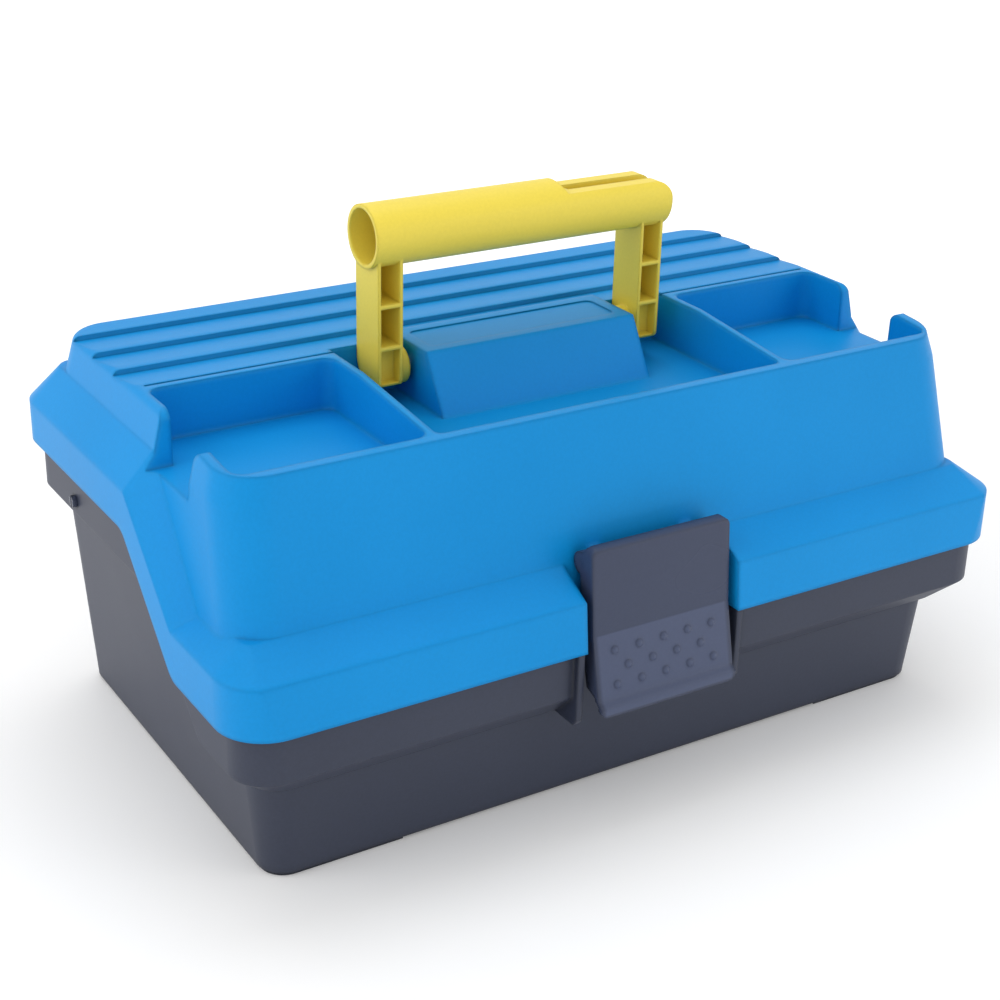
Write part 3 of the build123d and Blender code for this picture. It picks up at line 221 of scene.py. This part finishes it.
def steel(name):
    """Zinc-plated steel with fine brushing."""
    mat, tree, shader = new_material(name)
    stretch = tree.nodes.new("ShaderNodeMapping")
    stretch.inputs["Scale"].default_value = BRUSH_SCALE
    position = tree.nodes.new("ShaderNodeTexCoord").outputs["Object"]
    tree.links.new(position, stretch.inputs["Vector"])
    brush = noise(tree, stretch.outputs["Vector"], 1.0, 3.0).outputs["Fac"]
    dark = tuple(c * STEEL_SHADE for c in STEEL_COLOUR[:3]) + (1.0,)
    tree.links.new(ramp(tree, brush, dark, STEEL_COLOUR), shader.inputs["Base Color"])
    tree.links.new(rescale(tree, brush, STEEL_ROUGHNESS), shader.inputs["Roughness"])
    tree.links.new(soft_edges(tree, STEEL_EDGE, 4), shader.inputs["Normal"])
    shader.inputs["Metallic"].default_value = 1.0
    return mat


SLOT_MATERIALS = {
    "blue_plastic": plastic(
        "blue_plastic", srgb(2, 140, 211), 0.42, shine=0.16, grain=0.13, grain_size=0.55,
        edge=2.8, hollow_shade=0.86, speckle=0.02,
    ),
    "slate_plastic": plastic(
        "slate_plastic", srgb(48, 54, 72), 0.45, shine=0.38, grain=0.2, edge=2.0, hollow_shade=0.45,
    ),
    "slate_gloss_plastic": plastic(
        "slate_gloss_plastic", srgb(58, 66, 89), 0.26, shine=0.25, grain=0.05, grain_size=0.4,
        edge=2.6, coat=0.12, tint=0.02, speckle=0.02, field=True,
    ),
    "yellow_plastic": plastic(
        "yellow_plastic", srgb(235, 212, 78), 0.42, shine=0.25, grain=0.1, edge=1.4, coat=0.05,
        tint=0.03, hollow_shade=0.88, speckle=0.015,
    ),
    "tray_plastic": plastic("tray_plastic", srgb(176, 180, 186), 0.45, grain=0.14, edge=0.6),
    "divider_plastic": plastic(
        "divider_plastic", srgb(214, 216, 218), 0.4, grain=0.1, edge=0.4,
    ),
    "steel": steel("zinc_steel"),
}


def dress(obj, mat):
    """Puts one material on every slot of a CAD node."""
    if not obj.data.materials:
        obj.data.materials.append(mat)
    for i in range(len(obj.data.materials)):
        obj.data.materials[i] = mat


for part in frame["record"]["subparts"]:
    dress(nodes[part["node"]], SLOT_MATERIALS[part["material_slot"]])

# Floor: it glows more with its distance from the object, so that it meets the white background
FLOOR_HALF_SIZE = 3.0
FLOOR_COLOUR = (0.9, 0.9, 0.9, 1.0)
FLOOR_ROUGHNESS = 0.7
GLOW_REACH = (0.25, 1.3)
GLOW_STRENGTH = (0.12, 0.6)


def floor_material():
    """A pale floor with its round glow."""
    mat, tree, shader = new_material("pale_floor")
    shader.inputs["Base Color"].default_value = FLOOR_COLOUR
    shader.inputs["Roughness"].default_value = FLOOR_ROUGHNESS
    shader.inputs["Emission Color"].default_value = WHITE
    position = tree.nodes.new("ShaderNodeTexCoord").outputs["Object"]
    distance = tree.nodes.new("ShaderNodeVectorMath")
    distance.operation = "LENGTH"
    tree.links.new(position, distance.inputs[0])
    glow = rescale(tree, distance.outputs["Value"], GLOW_STRENGTH, GLOW_REACH)
    glow.node.interpolation_type = "SMOOTHSTEP"
    tree.links.new(glow, shader.inputs["Emission Strength"])
    return mat


floor_mesh = bpy.data.meshes.new("floor")
bm = bmesh.new()
bmesh.ops.create_grid(bm, x_segments=8, y_segments=8, size=FLOOR_HALF_SIZE)
bm.to_mesh(floor_mesh)
bm.free()
floor_mesh.materials.append(floor_material())
floor = bpy.data.objects.new("floor", floor_mesh)
scene.collection.objects.link(floor)

# Studio light: rays from the camera and its reflections see white, and the rest a weaker fill
BACKDROP_STRENGTH = 1.0
FILL_STRENGTH = 0.8


def backdrop(tree, strength):
    """A white background of one strength."""
    node = tree.nodes.new("ShaderNodeBackground")
    node.inputs["Color"].default_value = WHITE
    node.inputs["Strength"].default_value = strength
    return node.outputs["Background"]


world = bpy.data.worlds.new("studio")
scene.world = world
world.use_nodes = True
sky = world.node_tree
sky.nodes.clear()
path = sky.nodes.new("ShaderNodeLightPath")
seen = calculate(sky, "MAXIMUM", path.outputs["Is Camera Ray"], path.outputs["Is Glossy Ray"])
seen = calculate(sky, "MAXIMUM", seen, path.outputs["Is Transmission Ray"])
mix = sky.nodes.new("ShaderNodeMixShader")
sky.links.new(seen, mix.inputs["Fac"])
sky.links.new(backdrop(sky, FILL_STRENGTH), mix.inputs[1])
sky.links.new(backdrop(sky, BACKDROP_STRENGTH), mix.inputs[2])
sky_out = sky.nodes.new("ShaderNodeOutputWorld")
sky.links.new(mix.outputs["Shader"], sky_out.inputs["Surface"])


def softbox(name, place, aim, size, power):
    """A rectangular area light that looks at a point."""
    data = bpy.data.lights.new(name, "AREA")
    data.shape = "RECTANGLE"
    data.size = size[0]
    data.size_y = size[1]
    data.energy = power
    lamp = bpy.data.objects.new(name, data)
    lamp.location = place
    lamp.rotation_mode = "QUATERNION"
    lamp.rotation_quaternion = (Vector(aim) - Vector(place)).to_track_quat("-Z", "Y")
    scene.collection.objects.link(lamp)


softbox("key", (-1.5, 0.1, 1.1), (0, 0, 0.08), (1.2, 1.0), 7.0)
softbox("top", (0.1, 0.5, 1.7), (0, 0, 0.1), (1.4, 1.0), 7.5)
softbox("front", (1.3, -1.4, 0.8), (0, 0, 0.1), (0.9, 0.8), 4.0)

# Camera, fitted to the photograph
AZIMUTH = math.radians(-32.212)
ELEVATION = math.radians(24.31)
ROLL = math.radians(1.432)
TARGET = Vector((-0.00818, 0.0, 0.08132))
DISTANCE = 0.72829
FOCAL_PIXELS = 1860.7
IMAGE_PIXELS = 1000.0
SENSOR_WIDTH = 36.0

back = Vector((
    math.sin(AZIMUTH) * math.cos(ELEVATION),
    -math.cos(AZIMUTH) * math.cos(ELEVATION),
    math.sin(ELEVATION),
))
right = (-back).cross(Vector((0, 0, 1))).normalized()
up = right.cross(-back)
turned_right = right * math.cos(ROLL) + up * math.sin(ROLL)
turned_up = up * math.cos(ROLL) - right * math.sin(ROLL)
camera_data = bpy.data.cameras.new("camera")
camera_data.sensor_width = SENSOR_WIDTH
camera_data.lens = FOCAL_PIXELS * SENSOR_WIDTH / IMAGE_PIXELS
camera_data.shift_x = 0.00123
camera_data.clip_start = 0.02
camera_data.clip_end = 50.0
camera = bpy.data.objects.new("camera", camera_data)
rotation = Matrix((turned_right, turned_up, back)).transposed().to_4x4()
camera.matrix_world = Matrix.Translation(TARGET + back * DISTANCE) @ rotation
scene.collection.objects.link(camera)
scene.camera = camera
scene.view_settings.view_transform = "Standard"
